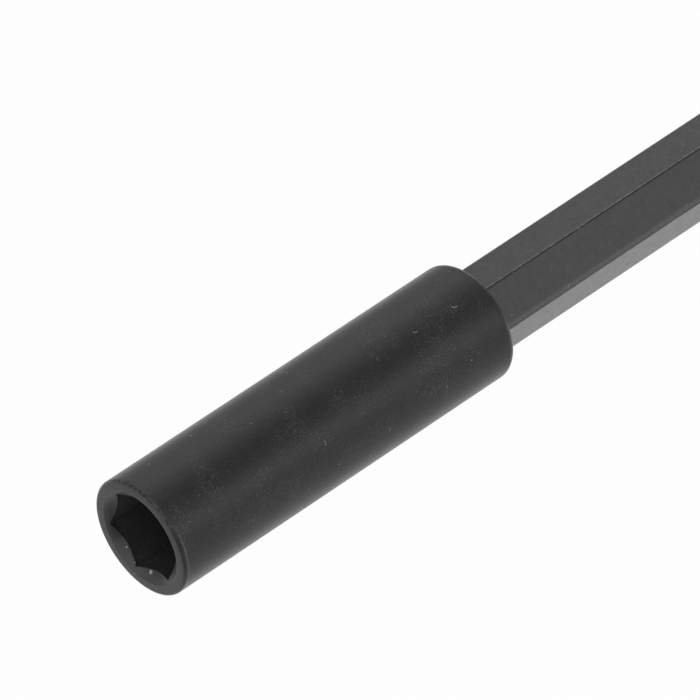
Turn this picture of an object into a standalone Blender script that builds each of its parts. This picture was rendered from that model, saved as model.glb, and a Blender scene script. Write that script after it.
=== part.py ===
"""Precision screwdriver with an exchangeable hexagonal blade that ends in a bit socket.

The tool lies along X with the socket towards -X. It rests on one flat of its hexagonal handle,
and the origin is on the surface below the middle of its length. All sizes are in metres.
"""

import math

import bmesh
import bpy

MM = 0.001

# Blade: a hexagonal shaft with a bit socket pressed on its front end
BIT_HEX = 4.0 * MM  # across the flats, of the shaft and of the bits that it drives
SHAFT_EXPOSED = 72.0 * MM  # bare shaft between the socket and the chuck
SHAFT_CORNER_RADIUS = 0.16 * MM
SHAFT_END_CHAMFER = 0.2 * MM
SOCKET_LENGTH = 22.3 * MM
SOCKET_WALL = 0.8 * MM  # at the corners of the hexagonal bore
SOCKET_DEPTH = 9.5 * MM  # how far a bit goes in
SOCKET_FRONT_RADIUS = 0.18 * MM
SOCKET_REAR_RADIUS = 0.55 * MM
LEAD_IN_RIM = 0.2 * MM  # the lead-in cone is this much wider than the bore's corners
LEAD_IN_ANGLE = math.radians(50)  # between the cone's side and the tool's axis
SOCKET_MAGNET_LENGTH = 2.0 * MM

# Chuck: the steel bush in the nose of the handle that takes the shaft
CHUCK_DEPTH = 15.0 * MM
CHUCK_WALL = 1.15 * MM  # at the corners of the hexagonal bore
CHUCK_PROUD = 0.6 * MM  # how far the bush stands out of the nose
CHUCK_EDGE_RADIUS = 0.3 * MM
CHUCK_FLANGE_STEP = 1.0 * MM
CHUCK_FLANGE_LENGTH = 2.5 * MM
CHUCK_TAIL = 0.4 * MM  # bush left behind the magnet
CHUCK_MAGNET_STEP = 0.13 * MM  # the magnet is this much too wide to pass the bore's corners
CHUCK_MAGNET_LENGTH = 2.5 * MM
CLIP_WIRE = 0.6 * MM
CLIP_DEPTH = 6.0 * MM  # from the chuck's mouth to the middle of the clip
CLIP_OPENING = math.radians(40)
NOTCH_DEPTH = 0.15 * MM  # bite of the clip's notch into the shaft's corners

# Handle: nose, grip and barrel, turned from hexagonal bar
HANDLE_WALL = 2.32 * MM  # from the barrel's spigot out to the flats
HANDLE_CORNER_RADIUS = 1.5 * MM
HANDLE_END_STEP = 0.3 * MM  # the round end faces are this much inside the flats
HANDLE_END_SLOPE = math.radians(30)
NOSE_BRIDGE = 7.0 * MM  # length of the bore round the chuck, in front of its flange
NOSE_THREAD_LENGTH = 6.5 * MM  # overlap of nose and spigot behind the flange
NOSE_LAND = 3.5 * MM  # full hexagon behind the cone
NOSE_TIP_WALL = 0.9 * MM
NOSE_EDGE_RADIUS = 0.4 * MM
SPIGOT_WALL = 1.1 * MM
SPIGOT_CHAMFER = 0.3 * MM
GRIP_LENGTH = 30.0 * MM
GRIP_RELIEF = 0.4 * MM  # the grip's crests are this much inside the flats
GRIP_BANDS = 5
RING_WIDTH = 0.9 * MM  # grooves between the knurled bands
RING_DEPTH = 0.55 * MM
KNURL_TEETH = 36
KNURL_DEPTH = 0.35 * MM
BARREL_LENGTH = 38.0 * MM

# Bearing of the swivel cap
BEARING_BORE = 4.0 * MM
BEARING_DIAMETER = 9.0 * MM
BEARING_WIDTH = 2.5 * MM
BEARING_CHAMFER = 0.15 * MM
BALL_DIAMETER = 1.2 * MM
BALL_COUNT = 7
RACE_GROOVE_DEPTH = 0.2 * MM
CAGE_CLEARANCE = 0.15 * MM  # between the cage and each race
CAGE_LIP = 0.22 * MM  # how far the cage reaches past the middle of the balls
CAGE_WEB = 0.3 * MM  # cage behind the balls
CIRCLIP_THICKNESS = 0.5 * MM
CIRCLIP_BITE = 0.3 * MM  # depth of its groove
CIRCLIP_REACH = 0.6 * MM  # how far it covers the outer race
CIRCLIP_OPENING = math.radians(50)
CIRCLIP_LAND = 1.0 * MM  # barrel behind the groove

# Swivel cap and the spindle that carries it
CAP_RELIEF = 0.3 * MM  # the cap's rim is this much inside the flats
CAP_FRONT_LAND = 1.8 * MM
CAP_WAIST_LENGTH = 5.2 * MM
CAP_REAR_LAND = 3.0 * MM
CAP_WAIST_DEPTH = 0.55 * MM
CAP_EDGE_RADIUS = 1.2 * MM
CAP_FRONT_CHAMFER = 0.3 * MM
CAP_RIM = 1.9 * MM  # wall between the pad and the cap's side
CAP_SEAT = 5.5 * MM  # length of spindle pressed into the cap
PAD_THICKNESS = 1.2 * MM
PAD_DISH = 0.5 * MM
WASHER_THICKNESS = 0.4 * MM  # of the thrust washer and of the one under the screw
WASHER_INSET = 0.3 * MM  # from the bearing's bore to the thrust washer
WASHER_WIDTH = 1.3 * MM
SPINDLE_SHOULDER = 0.55 * MM
SPINDLE_SHORT = 0.1 * MM  # the spindle ends this much inside the race, so that the screw clamps it
SCREW_DIAMETER = 2.0 * MM
SCREW_LENGTH = 4.0 * MM  # thread inside the spindle
SCREW_HEAD_STEP = 0.9 * MM
SCREW_HEAD_LENGTH = 1.3 * MM
SCREW_KEY = 1.5 * MM
SCREW_KEY_DEPTH = 0.7 * MM
SCREW_RUNOUT = 0.4 * MM  # spindle hole beyond the screw's end

# Clearances
PRESS_GAP = 0.04 * MM  # between pieces that are pressed or screwed together
SLIDE_GAP = 0.07 * MM  # on each side of a shaft or bit in its hexagonal bore
RUN_GAP = 0.05 * MM  # between pieces that turn past each other
EDGE_BREAK = 0.15 * MM  # chamfer on small pieces
TOOL_MARGIN = 0.4 * MM  # how far a cutting tool reaches past what it cuts

SOCKET_STEPS = 48
HANDLE_STEPS = 36
SMALL_STEPS = 28
ARC_POINTS = 3
SHARP_ANGLE = math.radians(32)
MERGE_DISTANCE = 0.000001


def hex_corner(across_flats):
    """Radius to a hexagon's corners."""
    return across_flats / math.sqrt(3)


# Radii that follow from the sizes above
BIT_BORE = BIT_HEX + 2 * SLIDE_GAP
SOCKET_RADIUS = hex_corner(BIT_BORE) + SOCKET_WALL
LEAD_IN_RADIUS = hex_corner(BIT_BORE) + LEAD_IN_RIM
CHUCK_RADIUS = hex_corner(BIT_BORE) + CHUCK_WALL
CHUCK_MAGNET_RADIUS = hex_corner(BIT_BORE) + CHUCK_MAGNET_STEP
FLANGE_RADIUS = CHUCK_RADIUS + CHUCK_FLANGE_STEP
NOTCH_RADIUS = hex_corner(BIT_HEX) - NOTCH_DEPTH
CLIP_RADIUS = NOTCH_RADIUS + SLIDE_GAP + CLIP_WIRE / 2
CLIP_GROOVE_RADIUS = CLIP_RADIUS + CLIP_WIRE / 2 + PRESS_GAP
SPIGOT_BORE_RADIUS = CHUCK_RADIUS + PRESS_GAP
SPIGOT_RADIUS = SPIGOT_BORE_RADIUS + SPIGOT_WALL
NOSE_THREAD_RADIUS = max(SPIGOT_RADIUS, FLANGE_RADIUS) + PRESS_GAP
NOSE_TIP_RADIUS = CHUCK_RADIUS + PRESS_GAP + NOSE_TIP_WALL
HANDLE_HEX = 2 * (SPIGOT_RADIUS + HANDLE_WALL)
HANDLE_FACE_RADIUS = HANDLE_HEX / 2 - HANDLE_END_STEP
HANDLE_BLANK_RADIUS = hex_corner(HANDLE_HEX) + TOOL_MARGIN
HANDLE_END_RUN = (HANDLE_BLANK_RADIUS - HANDLE_FACE_RADIUS) * math.tan(HANDLE_END_SLOPE)
GRIP_RADIUS = HANDLE_HEX / 2 - GRIP_RELIEF
BALL_RADIUS = BALL_DIAMETER / 2
PITCH_RADIUS = (BEARING_BORE + BEARING_DIAMETER) / 4
RACE_GROOVE_RADIUS = BALL_RADIUS + RUN_GAP
INNER_RACE_RADIUS = PITCH_RADIUS - BALL_RADIUS + RACE_GROOVE_DEPTH
OUTER_RACE_RADIUS = PITCH_RADIUS + BALL_RADIUS - RACE_GROOVE_DEPTH
BEARING_SEAT_RADIUS = BEARING_DIAMETER / 2 + PRESS_GAP
CIRCLIP_GROOVE_RADIUS = BEARING_SEAT_RADIUS + CIRCLIP_BITE
CIRCLIP_GROOVE_WIDTH = CIRCLIP_THICKNESS + 2 * PRESS_GAP
SPINDLE_RADIUS = BEARING_BORE / 2 - PRESS_GAP
SHOULDER_RADIUS = SPINDLE_RADIUS + SPINDLE_SHOULDER
CAP_RADIUS = HANDLE_HEX / 2 - CAP_RELIEF
PAD_RADIUS = CAP_RADIUS - CAP_RIM

# Places along the tool, from the mouth of the bit socket
SOCKET_MAGNET_AT = SOCKET_DEPTH
SHAFT_AT = SOCKET_MAGNET_AT + SOCKET_MAGNET_LENGTH + PRESS_GAP
CHUCK_AT = SOCKET_LENGTH + SHAFT_EXPOSED
SHAFT_END_AT = CHUCK_AT + CHUCK_DEPTH
CHUCK_MAGNET_AT = SHAFT_END_AT + 2 * PRESS_GAP
CHUCK_END_AT = CHUCK_MAGNET_AT + CHUCK_MAGNET_LENGTH + CHUCK_TAIL
NOSE_AT = CHUCK_AT + CHUCK_PROUD
NOSE_LENGTH = NOSE_BRIDGE + CHUCK_FLANGE_LENGTH + NOSE_THREAD_LENGTH
FLANGE_AT = NOSE_AT + NOSE_BRIDGE + PRESS_GAP
BARREL_AT = FLANGE_AT + CHUCK_FLANGE_LENGTH + PRESS_GAP
GRIP_AT = NOSE_AT + NOSE_LENGTH + PRESS_GAP
SHOULDER_AT = GRIP_AT + GRIP_LENGTH + PRESS_GAP
BARREL_END_AT = SHOULDER_AT + BARREL_LENGTH
CIRCLIP_AT = BARREL_END_AT - CIRCLIP_LAND - CIRCLIP_GROOVE_WIDTH
BEARING_AT = CIRCLIP_AT - BEARING_WIDTH
BALLS_AT = BEARING_AT + BEARING_WIDTH / 2
THRUST_WASHER_AT = BARREL_END_AT + PRESS_GAP
CAP_AT = THRUST_WASHER_AT + WASHER_THICKNESS + RUN_GAP
SPINDLE_AT = BEARING_AT + SPINDLE_SHORT
SPINDLE_WASHER_AT = BEARING_AT - PRESS_GAP - WASHER_THICKNESS
SCREW_HEAD_AT = SPINDLE_WASHER_AT - PRESS_GAP - SCREW_HEAD_LENGTH
CAP_LENGTH = CAP_FRONT_LAND + CAP_WAIST_LENGTH + CAP_REAR_LAND
TOOL_LENGTH = CAP_AT + CAP_LENGTH


def clear_scene():
    for existing in list(bpy.data.objects):
        bpy.data.objects.remove(existing, do_unlink=True)


def new_collection(name):
    collection = bpy.data.collections.new(name)
    bpy.context.scene.collection.children.link(collection)
    return collection


def new_axis(name, distance, parent=None):
    """Empty on the tool's axis: its Z runs along the tool, its X points down."""
    axis = bpy.data.objects.new(name, None)
    axis.empty_display_size = HANDLE_HEX
    parts.objects.link(axis)
    if parent:
        axis.parent = parent
        axis.location.z = distance
    else:
        axis.location = (distance, 0, HANDLE_HEX / 2)
        axis.rotation_euler.y = math.pi / 2
    return axis


def finish(name, colour, roughness, metallic):
    material = bpy.data.materials.new(name)
    material.use_nodes = True
    shader = material.node_tree.nodes["Principled BSDF"]
    shader.inputs["Base Color"].default_value = (*colour, 1)
    shader.inputs["Roughness"].default_value = roughness
    shader.inputs["Metallic"].default_value = metallic
    material.diffuse_color = (*colour, 1)
    return material


def arc(centre, radius, start, end, points=ARC_POINTS):
    """Points of an arc in the plane of an outline, as (radius, distance); angles in degrees."""
    centre_radius, centre_distance = centre
    angles = [math.radians(start + (end - start) * i / points) for i in range(points + 1)]
    return [
        (centre_radius + radius * math.cos(a), centre_distance + radius * math.sin(a)) for a in angles
    ]


def turned(name, outline, steps=SMALL_STEPS):
    """Solid turned about its own Z, from an outline of (radius, distance) points.

    The outline runs along the outside from front to rear. A hollow piece's outline then comes back
    through the bore and is closed, a solid piece's starts and ends on the axis.
    """
    points = [(radius, 0, distance) for radius, distance in reversed(outline)]
    edges = [(i, i + 1) for i in range(len(points) - 1)]
    if min(radius for radius, distance in outline) > 0:
        edges.append((len(points) - 1, 0))
    mesh = bpy.data.meshes.new(name)
    mesh.from_pydata(points, edges, [])
    piece = bpy.data.objects.new(name, mesh)
    screw = piece.modifiers.new("turn", "SCREW")
    screw.steps = steps
    screw.render_steps = steps
    screw.use_merge_vertices = True
    screw.merge_threshold = MERGE_DISTANCE
    return piece


def ring(name, inner, outer, length, steps=SMALL_STEPS):
    return turned(name, [(inner, 0), (outer, 0), (outer, length), (inner, length)], steps)


def disc(name, radius, length):
    """Turned disc with broken edges."""
    outline = [
        (0, 0),
        (radius - EDGE_BREAK, 0),
        (radius, EDGE_BREAK),
        (radius, length - EDGE_BREAK),
        (radius - EDGE_BREAK, length),
        (0, length),
    ]
    return turned(name, outline)


def tool(name, shape):
    """Puts a shape away as a cutting tool that never shows."""
    shape.name = name
    shape.hide_render = True
    shape.display_type = "WIRE"
    cutters.objects.link(shape)
    return shape


def hex_bar(name, across_flats, start, end, corner_radius=0.0):
    """Hexagonal bar with flats facing up and down on the finished tool."""
    mesh = bpy.data.meshes.new(name)
    shape = bmesh.new()
    radius = hex_corner(across_flats)
    bmesh.ops.create_cone(shape, cap_ends=True, segments=6, radius1=radius, radius2=radius, depth=end - start)
    bmesh.ops.translate(shape, verts=shape.verts, vec=(0, 0, (start + end) / 2))
    if corner_radius:
        long_edges = [e for e in shape.edges if abs(e.verts[0].co.z - e.verts[1].co.z) > MERGE_DISTANCE]
        setback = corner_radius * math.tan(math.radians(30))
        bmesh.ops.bevel(
            shape, geom=long_edges, offset=setback, segments=ARC_POINTS, profile=0.5, affect="EDGES"
        )
    shape.to_mesh(mesh)
    shape.free()
    return bpy.data.objects.new(name, mesh)


def lead_in(name):
    """Cone that opens the mouth of a hexagonal bore."""
    slope = math.tan(LEAD_IN_ANGLE)
    wide = LEAD_IN_RADIUS + TOOL_MARGIN * slope
    cone = turned(name, [(0, -TOOL_MARGIN), (wide, -TOOL_MARGIN), (0, LEAD_IN_RADIUS / slope)], SOCKET_STEPS)
    return tool(name, cone)


def shape_with(piece, operation, cutter):
    """Adds a Boolean; the cutter stands at the piece's own origin."""
    boolean = piece.modifiers.new(cutter.name, "BOOLEAN")
    boolean.operation = operation
    boolean.object = cutter
    boolean.solver = "EXACT"
    return piece


def settle(piece, axis, distance, material):
    """Turns the modifiers into a plain mesh, shades it and puts the piece on its axis."""
    parts.objects.link(piece)
    bpy.context.view_layer.update()
    evaluated = piece.evaluated_get(bpy.context.evaluated_depsgraph_get())
    mesh = bpy.data.meshes.new_from_object(evaluated)
    mesh.name = piece.name
    if piece.type == "CURVE":
        curve = piece
        piece = bpy.data.objects.new(curve.name, mesh)
        bpy.data.objects.remove(curve)
        piece.name = mesh.name
        parts.objects.link(piece)
        weld(mesh)
    else:
        piece.modifiers.clear()
        piece.data = mesh
    mesh.shade_smooth()
    mesh.set_sharp_from_angle(angle=SHARP_ANGLE)
    mesh.materials.clear()
    mesh.materials.append(material)
    piece.parent = axis
    piece.location.z = distance
    return piece


def weld(mesh):
    shape = bmesh.new()
    shape.from_mesh(mesh)
    bmesh.ops.remove_doubles(shape, verts=shape.verts, dist=MERGE_DISTANCE)
    shape.to_mesh(mesh)
    shape.free()


def open_circle(radius, opening, points):
    """Points round a circle that leaves an opening about +X."""
    angles = [opening / 2 + (2 * math.pi - opening) * i / points for i in range(points + 1)]
    return [(radius * math.cos(a), radius * math.sin(a)) for a in angles]


def poly_curve(name, points, closed):
    curve = bpy.data.curves.new(name, "CURVE")
    spline = curve.splines.new("POLY")
    spline.points.add(len(points) - 1)
    for spot, (x, y) in zip(spline.points, points):
        spot.co = (x, y, 0, 1)
    spline.use_cyclic_u = closed
    return curve


def make_socket_sleeve():
    """Round sleeve with the hexagonal bore right through it."""
    front = SOCKET_FRONT_RADIUS
    rear = SOCKET_REAR_RADIUS
    outline = [(0, 0)]
    outline += arc((SOCKET_RADIUS - front, front), front, -90, 0)
    outline += arc((SOCKET_RADIUS - rear, SOCKET_LENGTH - rear), rear, 0, 90)
    outline += [(0, SOCKET_LENGTH)]
    sleeve = turned("socket_sleeve", outline, SOCKET_STEPS)
    bore = hex_bar("socket_bore", BIT_BORE, -TOOL_MARGIN, SOCKET_LENGTH + TOOL_MARGIN)
    shape_with(sleeve, "DIFFERENCE", tool("socket_bore", bore))
    shape_with(sleeve, "DIFFERENCE", lead_in("socket_lead_in"))
    settle(sleeve, blade_axis, 0, black_steel)


def make_hex_shaft():
    """Hexagonal bar with chamfered ends and a notch for the clip in its corners."""
    length = SHAFT_END_AT - SHAFT_AT
    blank = hex_corner(BIT_HEX) + TOOL_MARGIN
    face = BIT_HEX / 2 - SHAFT_END_CHAMFER
    notch_at = CHUCK_AT + CLIP_DEPTH - SHAFT_AT
    notch_half = CLIP_WIRE / 2 + SLIDE_GAP
    flare = blank - NOTCH_RADIUS
    outline = [
        (0, 0),
        (face, 0),
        (blank, blank - face),
        (blank, notch_at - notch_half - flare),
        (NOTCH_RADIUS, notch_at - notch_half),
        (NOTCH_RADIUS, notch_at + notch_half),
        (blank, notch_at + notch_half + flare),
        (blank, length - blank + face),
        (face, length),
        (0, length),
    ]
    shaft = turned("hex_shaft", outline)
    bar = hex_bar("shaft_bar", BIT_HEX, -TOOL_MARGIN, length + TOOL_MARGIN, SHAFT_CORNER_RADIUS)
    shape_with(shaft, "INTERSECT", tool("shaft_bar", bar))
    settle(shaft, blade_axis, SHAFT_AT, black_steel)


def make_magnets():
    socket_magnet = disc("socket_magnet", BIT_BORE / 2 - PRESS_GAP, SOCKET_MAGNET_LENGTH)
    settle(socket_magnet, blade_axis, SOCKET_MAGNET_AT, nickel)
    chuck_magnet = disc("chuck_magnet", CHUCK_MAGNET_RADIUS, CHUCK_MAGNET_LENGTH)
    settle(chuck_magnet, tool_axis, CHUCK_MAGNET_AT, nickel)


def make_chuck_insert():
    """Flanged bush: hexagonal bore in front, magnet pocket behind, a groove for the clip between."""
    length = CHUCK_END_AT - CHUCK_AT
    edge = CHUCK_EDGE_RADIUS
    flange = FLANGE_AT - CHUCK_AT
    flange_end = flange + CHUCK_FLANGE_LENGTH
    pocket = CHUCK_MAGNET_AT - PRESS_GAP - CHUCK_AT
    pocket_radius = CHUCK_MAGNET_RADIUS + PRESS_GAP
    outline = [(0, 0)]
    outline += arc((CHUCK_RADIUS - edge, edge), edge, -90, 0)
    outline += [
        (CHUCK_RADIUS, flange),
        (FLANGE_RADIUS, flange),
        (FLANGE_RADIUS, flange_end),
        (CHUCK_RADIUS, flange_end),
        (CHUCK_RADIUS, length - EDGE_BREAK),
        (CHUCK_RADIUS - EDGE_BREAK, length),
        (pocket_radius, length),
        (pocket_radius, pocket),
        (0, pocket),
    ]
    chuck = turned("chuck_insert", outline)
    bore = hex_bar("chuck_bore", BIT_BORE, -TOOL_MARGIN, (pocket + length) / 2)
    shape_with(chuck, "DIFFERENCE", tool("chuck_bore", bore))
    shape_with(chuck, "DIFFERENCE", lead_in("chuck_lead_in"))
    groove_length = CLIP_WIRE + 2 * PRESS_GAP
    groove = turned(
        "clip_groove",
        [
            (0, CLIP_DEPTH - groove_length / 2),
            (CLIP_GROOVE_RADIUS, CLIP_DEPTH - groove_length / 2),
            (CLIP_GROOVE_RADIUS, CLIP_DEPTH + groove_length / 2),
            (0, CLIP_DEPTH + groove_length / 2),
        ],
    )
    shape_with(chuck, "DIFFERENCE", tool("clip_groove", groove))
    settle(chuck, tool_axis, CHUCK_AT, bright_steel)


def make_blade_clip():
    """Open ring of round wire that snaps into the notch in the shaft."""
    curve = poly_curve("blade_clip", open_circle(CLIP_RADIUS, CLIP_OPENING, SMALL_STEPS), False)
    curve.dimensions = "3D"
    curve.bevel_depth = CLIP_WIRE / 2
    curve.bevel_resolution = 1
    curve.use_fill_caps = True
    settle(bpy.data.objects.new("blade_clip", curve), tool_axis, CHUCK_AT + CLIP_DEPTH, spring_steel)


def make_nose_cone():
    """Cone nut, turned from hexagonal bar so that the cone runs out on the flats."""
    edge = NOSE_EDGE_RADIUS
    bore = CHUCK_RADIUS + PRESS_GAP
    outline = [(bore, 0)]
    outline += arc((NOSE_TIP_RADIUS - edge, edge), edge, -90, 0)
    outline += [
        (HANDLE_BLANK_RADIUS, NOSE_LENGTH - HANDLE_END_RUN - NOSE_LAND),
        (HANDLE_BLANK_RADIUS, NOSE_LENGTH - HANDLE_END_RUN),
        (HANDLE_FACE_RADIUS, NOSE_LENGTH),
        (NOSE_THREAD_RADIUS, NOSE_LENGTH),
        (NOSE_THREAD_RADIUS, NOSE_BRIDGE),
        (bore, NOSE_BRIDGE),
    ]
    nose = turned("nose_cone", outline, HANDLE_STEPS)
    bar = hex_bar("nose_bar", HANDLE_HEX, -TOOL_MARGIN, NOSE_LENGTH + TOOL_MARGIN, HANDLE_CORNER_RADIUS)
    shape_with(nose, "INTERSECT", tool("nose_bar", bar))
    settle(nose, tool_axis, NOSE_AT, dark_aluminium)


def make_grip_sleeve():
    """Sleeve with straight-knurled bands, and plain grooves between the bands."""
    bore = SPIGOT_RADIUS + PRESS_GAP
    floor = GRIP_RADIUS - RING_DEPTH
    band = (GRIP_LENGTH - (GRIP_BANDS - 1) * RING_WIDTH) / GRIP_BANDS
    outline = [(bore, 0)]
    for i in range(GRIP_BANDS):
        start = i * (band + RING_WIDTH)
        end = start + band
        outline += [
            (floor, start),
            (GRIP_RADIUS, start + RING_DEPTH),
            (GRIP_RADIUS, end - RING_DEPTH),
            (floor, end),
        ]
    outline += [(bore, GRIP_LENGTH)]
    grip = turned("grip_sleeve", outline, KNURL_TEETH)
    shape_with(grip, "INTERSECT", tool("knurl_bar", knurl_bar()))
    settle(grip, tool_axis, GRIP_AT, dark_aluminium)


def knurl_bar():
    """Bar with a straight tooth for each ridge of the knurl."""
    crest = GRIP_RADIUS + KNURL_DEPTH / 2
    root = GRIP_RADIUS - KNURL_DEPTH
    points = []
    for i in range(2 * KNURL_TEETH):
        angle = math.pi * i / KNURL_TEETH
        radius = crest if i % 2 else root
        points.append((radius * math.cos(angle), radius * math.sin(angle)))
    curve = poly_curve("knurl_outline", points, True)
    curve.dimensions = "2D"
    curve.fill_mode = "BOTH"
    curve.extrude = GRIP_LENGTH / 2 + TOOL_MARGIN
    outline = bpy.data.objects.new("knurl_outline", curve)
    cutters.objects.link(outline)
    bpy.context.view_layer.update()
    mesh = bpy.data.meshes.new_from_object(outline.evaluated_get(bpy.context.evaluated_depsgraph_get()))
    bpy.data.objects.remove(outline)
    weld(mesh)
    for vertex in mesh.vertices:
        vertex.co.z += GRIP_LENGTH / 2
    return bpy.data.objects.new("knurl_bar", mesh)


def make_handle_barrel():
    """Hexagonal barrel: spigot for grip and nose in front, seat of the cap's bearing behind."""
    shoulder = SHOULDER_AT - BARREL_AT
    length = BARREL_END_AT - BARREL_AT
    groove = CIRCLIP_AT - BARREL_AT
    seat = BEARING_AT - PRESS_GAP - BARREL_AT
    outline = [
        (SPIGOT_BORE_RADIUS, 0),
        (SPIGOT_RADIUS - SPIGOT_CHAMFER, 0),
        (SPIGOT_RADIUS, SPIGOT_CHAMFER),
        (SPIGOT_RADIUS, shoulder),
        (HANDLE_FACE_RADIUS, shoulder),
        (HANDLE_BLANK_RADIUS, shoulder + HANDLE_END_RUN),
        (HANDLE_BLANK_RADIUS, length - HANDLE_END_RUN),
        (HANDLE_FACE_RADIUS, length),
        (BEARING_SEAT_RADIUS, length),
        (BEARING_SEAT_RADIUS, groove + CIRCLIP_GROOVE_WIDTH),
        (CIRCLIP_GROOVE_RADIUS, groove + CIRCLIP_GROOVE_WIDTH),
        (CIRCLIP_GROOVE_RADIUS, groove),
        (BEARING_SEAT_RADIUS, groove),
        (BEARING_SEAT_RADIUS, seat),
        (SPIGOT_BORE_RADIUS, seat),
    ]
    barrel = turned("handle_barrel", outline, HANDLE_STEPS)
    bar = hex_bar("barrel_bar", HANDLE_HEX, -TOOL_MARGIN, length + TOOL_MARGIN, HANDLE_CORNER_RADIUS)
    shape_with(barrel, "INTERSECT", tool("barrel_bar", bar))
    settle(barrel, tool_axis, BARREL_AT, dark_aluminium)


def make_races():
    """Two races with a round groove each, in which the balls run."""
    middle = BEARING_WIDTH / 2
    reach = math.degrees(math.acos((OUTER_RACE_RADIUS - PITCH_RADIUS) / RACE_GROOVE_RADIUS))
    outer = BEARING_DIAMETER / 2
    outline = [
        (OUTER_RACE_RADIUS, 0),
        (outer - BEARING_CHAMFER, 0),
        (outer, BEARING_CHAMFER),
        (outer, BEARING_WIDTH - BEARING_CHAMFER),
        (outer - BEARING_CHAMFER, BEARING_WIDTH),
        (OUTER_RACE_RADIUS, BEARING_WIDTH),
    ]
    outline += arc((PITCH_RADIUS, middle), RACE_GROOVE_RADIUS, reach, -reach)
    settle(turned("bearing_outer_race", outline), tool_axis, BEARING_AT, bearing_steel)
    bore = BEARING_BORE / 2
    outline = [(INNER_RACE_RADIUS, 0)]
    outline += arc((PITCH_RADIUS, middle), RACE_GROOVE_RADIUS, 180 + reach, 180 - reach)
    outline += [
        (INNER_RACE_RADIUS, BEARING_WIDTH),
        (bore + BEARING_CHAMFER, BEARING_WIDTH),
        (bore, BEARING_WIDTH - BEARING_CHAMFER),
        (bore, BEARING_CHAMFER),
        (bore + BEARING_CHAMFER, 0),
    ]
    settle(turned("bearing_inner_race", outline), cap_axis, -BEARING_WIDTH / 2, bearing_steel)


def ball_places():
    angles = [2 * math.pi * i / BALL_COUNT for i in range(BALL_COUNT)]
    return [(PITCH_RADIUS * math.cos(a), PITCH_RADIUS * math.sin(a), 0) for a in angles]


def ball_mesh(name, radius, places):
    mesh = bpy.data.meshes.new(name)
    shape = bmesh.new()
    for place in places:
        ball = bmesh.ops.create_uvsphere(shape, u_segments=12, v_segments=7, radius=radius)
        bmesh.ops.translate(shape, verts=ball["verts"], vec=place)
    shape.to_mesh(mesh)
    shape.free()
    return mesh


def make_balls_and_cage():
    """Seven balls, and a crown cage with a pocket for each."""
    mesh = ball_mesh("bearing_ball", BALL_RADIUS, [(0, 0, 0)])
    mesh.shade_smooth()
    mesh.materials.append(bearing_steel)
    for i, place in enumerate(ball_places()):
        ball = bpy.data.objects.new(f"bearing_ball_{i + 1}", mesh)
        parts.objects.link(ball)
        ball.parent = cage_axis
        ball.location = place
    depth = CAGE_LIP + BALL_RADIUS + CAGE_WEB
    cage = ring("bearing_cage", INNER_RACE_RADIUS + CAGE_CLEARANCE, OUTER_RACE_RADIUS - CAGE_CLEARANCE, depth)
    pockets = ball_mesh("ball_pockets", BALL_RADIUS + RUN_GAP, ball_places())
    for vertex in pockets.vertices:
        vertex.co.z += CAGE_LIP
    shape_with(cage, "DIFFERENCE", tool("ball_pockets", bpy.data.objects.new("ball_pockets", pockets)))
    settle(cage, cage_axis, -CAGE_LIP, nylon)


def make_circlip():
    """Flat open ring in the groove behind the bearing."""
    outer = CIRCLIP_GROOVE_RADIUS - PRESS_GAP
    inner = BEARING_SEAT_RADIUS - CIRCLIP_REACH
    points = open_circle(outer, CIRCLIP_OPENING, SMALL_STEPS)
    points += reversed(open_circle(inner, CIRCLIP_OPENING, SMALL_STEPS))
    curve = poly_curve("bearing_circlip", points, True)
    curve.dimensions = "2D"
    curve.fill_mode = "BOTH"
    curve.extrude = CIRCLIP_THICKNESS / 2
    clip = bpy.data.objects.new("bearing_circlip", curve)
    settle(clip, tool_axis, CIRCLIP_AT + CIRCLIP_GROOVE_WIDTH / 2, spring_steel)


def make_thrust_washer():
    inner = BEARING_SEAT_RADIUS + WASHER_INSET
    washer = ring("thrust_washer", inner, inner + WASHER_WIDTH, WASHER_THICKNESS, HANDLE_STEPS)
    settle(washer, tool_axis, THRUST_WASHER_AT, bronze)


def make_spindle():
    """Shouldered pin: front end in the inner race, rear end in the cap, tapped for the screw."""
    hole = SCREW_DIAMETER / 2 + PRESS_GAP
    hole_depth = SCREW_LENGTH + SCREW_RUNOUT
    shoulder = BEARING_AT + BEARING_WIDTH + PRESS_GAP - SPINDLE_AT
    shoulder_end = CAP_AT - PRESS_GAP - SPINDLE_AT
    length = CAP_AT + CAP_SEAT - PRESS_GAP - SPINDLE_AT
    outline = [
        (0, hole_depth),
        (hole, hole_depth),
        (hole, 0),
        (SPINDLE_RADIUS - EDGE_BREAK, 0),
        (SPINDLE_RADIUS, EDGE_BREAK),
        (SPINDLE_RADIUS, shoulder),
        (SHOULDER_RADIUS, shoulder),
        (SHOULDER_RADIUS, shoulder_end),
        (SPINDLE_RADIUS, shoulder_end),
        (SPINDLE_RADIUS, length - EDGE_BREAK),
        (SPINDLE_RADIUS - EDGE_BREAK, length),
        (0, length),
    ]
    settle(turned("cap_spindle", outline), cap_axis, SPINDLE_AT - BALLS_AT, bright_steel)


def make_spindle_washer():
    washer = ring("spindle_washer", SCREW_DIAMETER / 2 + PRESS_GAP, SHOULDER_RADIUS, WASHER_THICKNESS)
    settle(washer, cap_axis, SPINDLE_WASHER_AT - BALLS_AT, bright_steel)


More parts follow.
